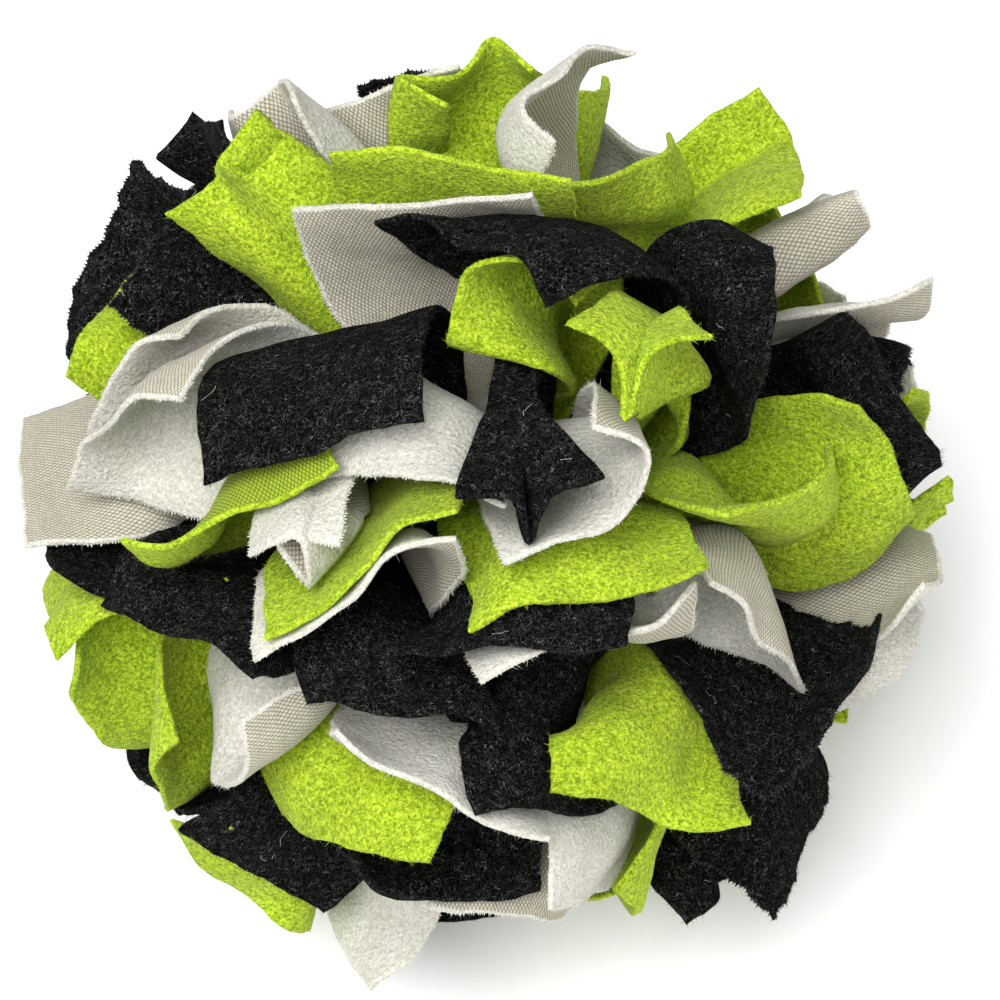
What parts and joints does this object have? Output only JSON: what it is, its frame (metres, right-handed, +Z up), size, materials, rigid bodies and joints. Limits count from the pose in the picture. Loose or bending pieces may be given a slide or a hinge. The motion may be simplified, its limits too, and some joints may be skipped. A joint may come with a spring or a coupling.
{
  "type": "dog snuffle ball",
  "caption": "Soft ball of fleece strips tied at their middles, whose ends fan out into overlapping flaps that hide dry treats.",
  "frame": {"origin": "on the floor under the middle of the ball's outline", "axes": "+Z up, -Y towards the front of the ball"},
  "size_m": [0.188, 0.184, 0.1794],
  "materials": {
    "black_fleece": "brushed fleece",
    "green_fleece": "brushed fleece",
    "grey_fleece": "brushed fleece with a knitted back"
  },
  "bodies": {
    "root": {"strip_black_01": "black_fleece", "strip_green_01": "green_fleece", "strip_green_02": "green_fleece", "strip_green_03": "green_fleece", "strip_grey_01": "grey_fleece", "strip_black_02": "black_fleece", "strip_grey_02": "grey_fleece", "strip_grey_03": "grey_fleece", "strip_black_03": "black_fleece", "strip_green_04": "green_fleece", "strip_grey_04": "grey_fleece", "strip_black_04": "black_fleece", "strip_green_05": "green_fleece", "strip_grey_05": "grey_fleece", "strip_black_05": "black_fleece", "strip_grey_06": "grey_fleece", "strip_green_06": "green_fleece", "strip_green_07": "green_fleece", "strip_green_08": "green_fleece", "strip_grey_07": "grey_fleece", "strip_black_06": "black_fleece", "strip_black_07": "black_fleece", "strip_grey_08": "grey_fleece", "strip_grey_09": "grey_fleece", "strip_black_08": "black_fleece", "strip_grey_10": "grey_fleece", "strip_green_09": "green_fleece", "strip_black_09": "black_fleece", "strip_grey_11": "grey_fleece", "strip_grey_12": "grey_fleece", "strip_green_10": "green_fleece", "strip_grey_13": "grey_fleece", "strip_green_11": "green_fleece", "strip_green_12": "green_fleece", "strip_black_10": "black_fleece", "strip_grey_14": "grey_fleece", "strip_green_13": "green_fleece", "strip_black_11": "black_fleece", "strip_green_14": "green_fleece", "strip_black_12": "black_fleece", "strip_green_15": "green_fleece", "strip_black_13": "black_fleece", "strip_black_14": "black_fleece", "strip_green_16": "green_fleece", "strip_black_15": "black_fleece", "strip_grey_15": "grey_fleece", "strip_green_17": "green_fleece", "strip_grey_16": "grey_fleece", "strip_grey_17": "grey_fleece", "strip_black_16": "black_fleece", "strip_grey_18": "grey_fleece", "strip_green_18": "green_fleece", "strip_green_19": "green_fleece", "strip_green_20": "green_fleece", "strip_grey_19": "grey_fleece", "strip_black_17": "black_fleece", "strip_grey_20": "grey_fleece", "strip_green_21": "green_fleece"}
  },
  "joints": []
}
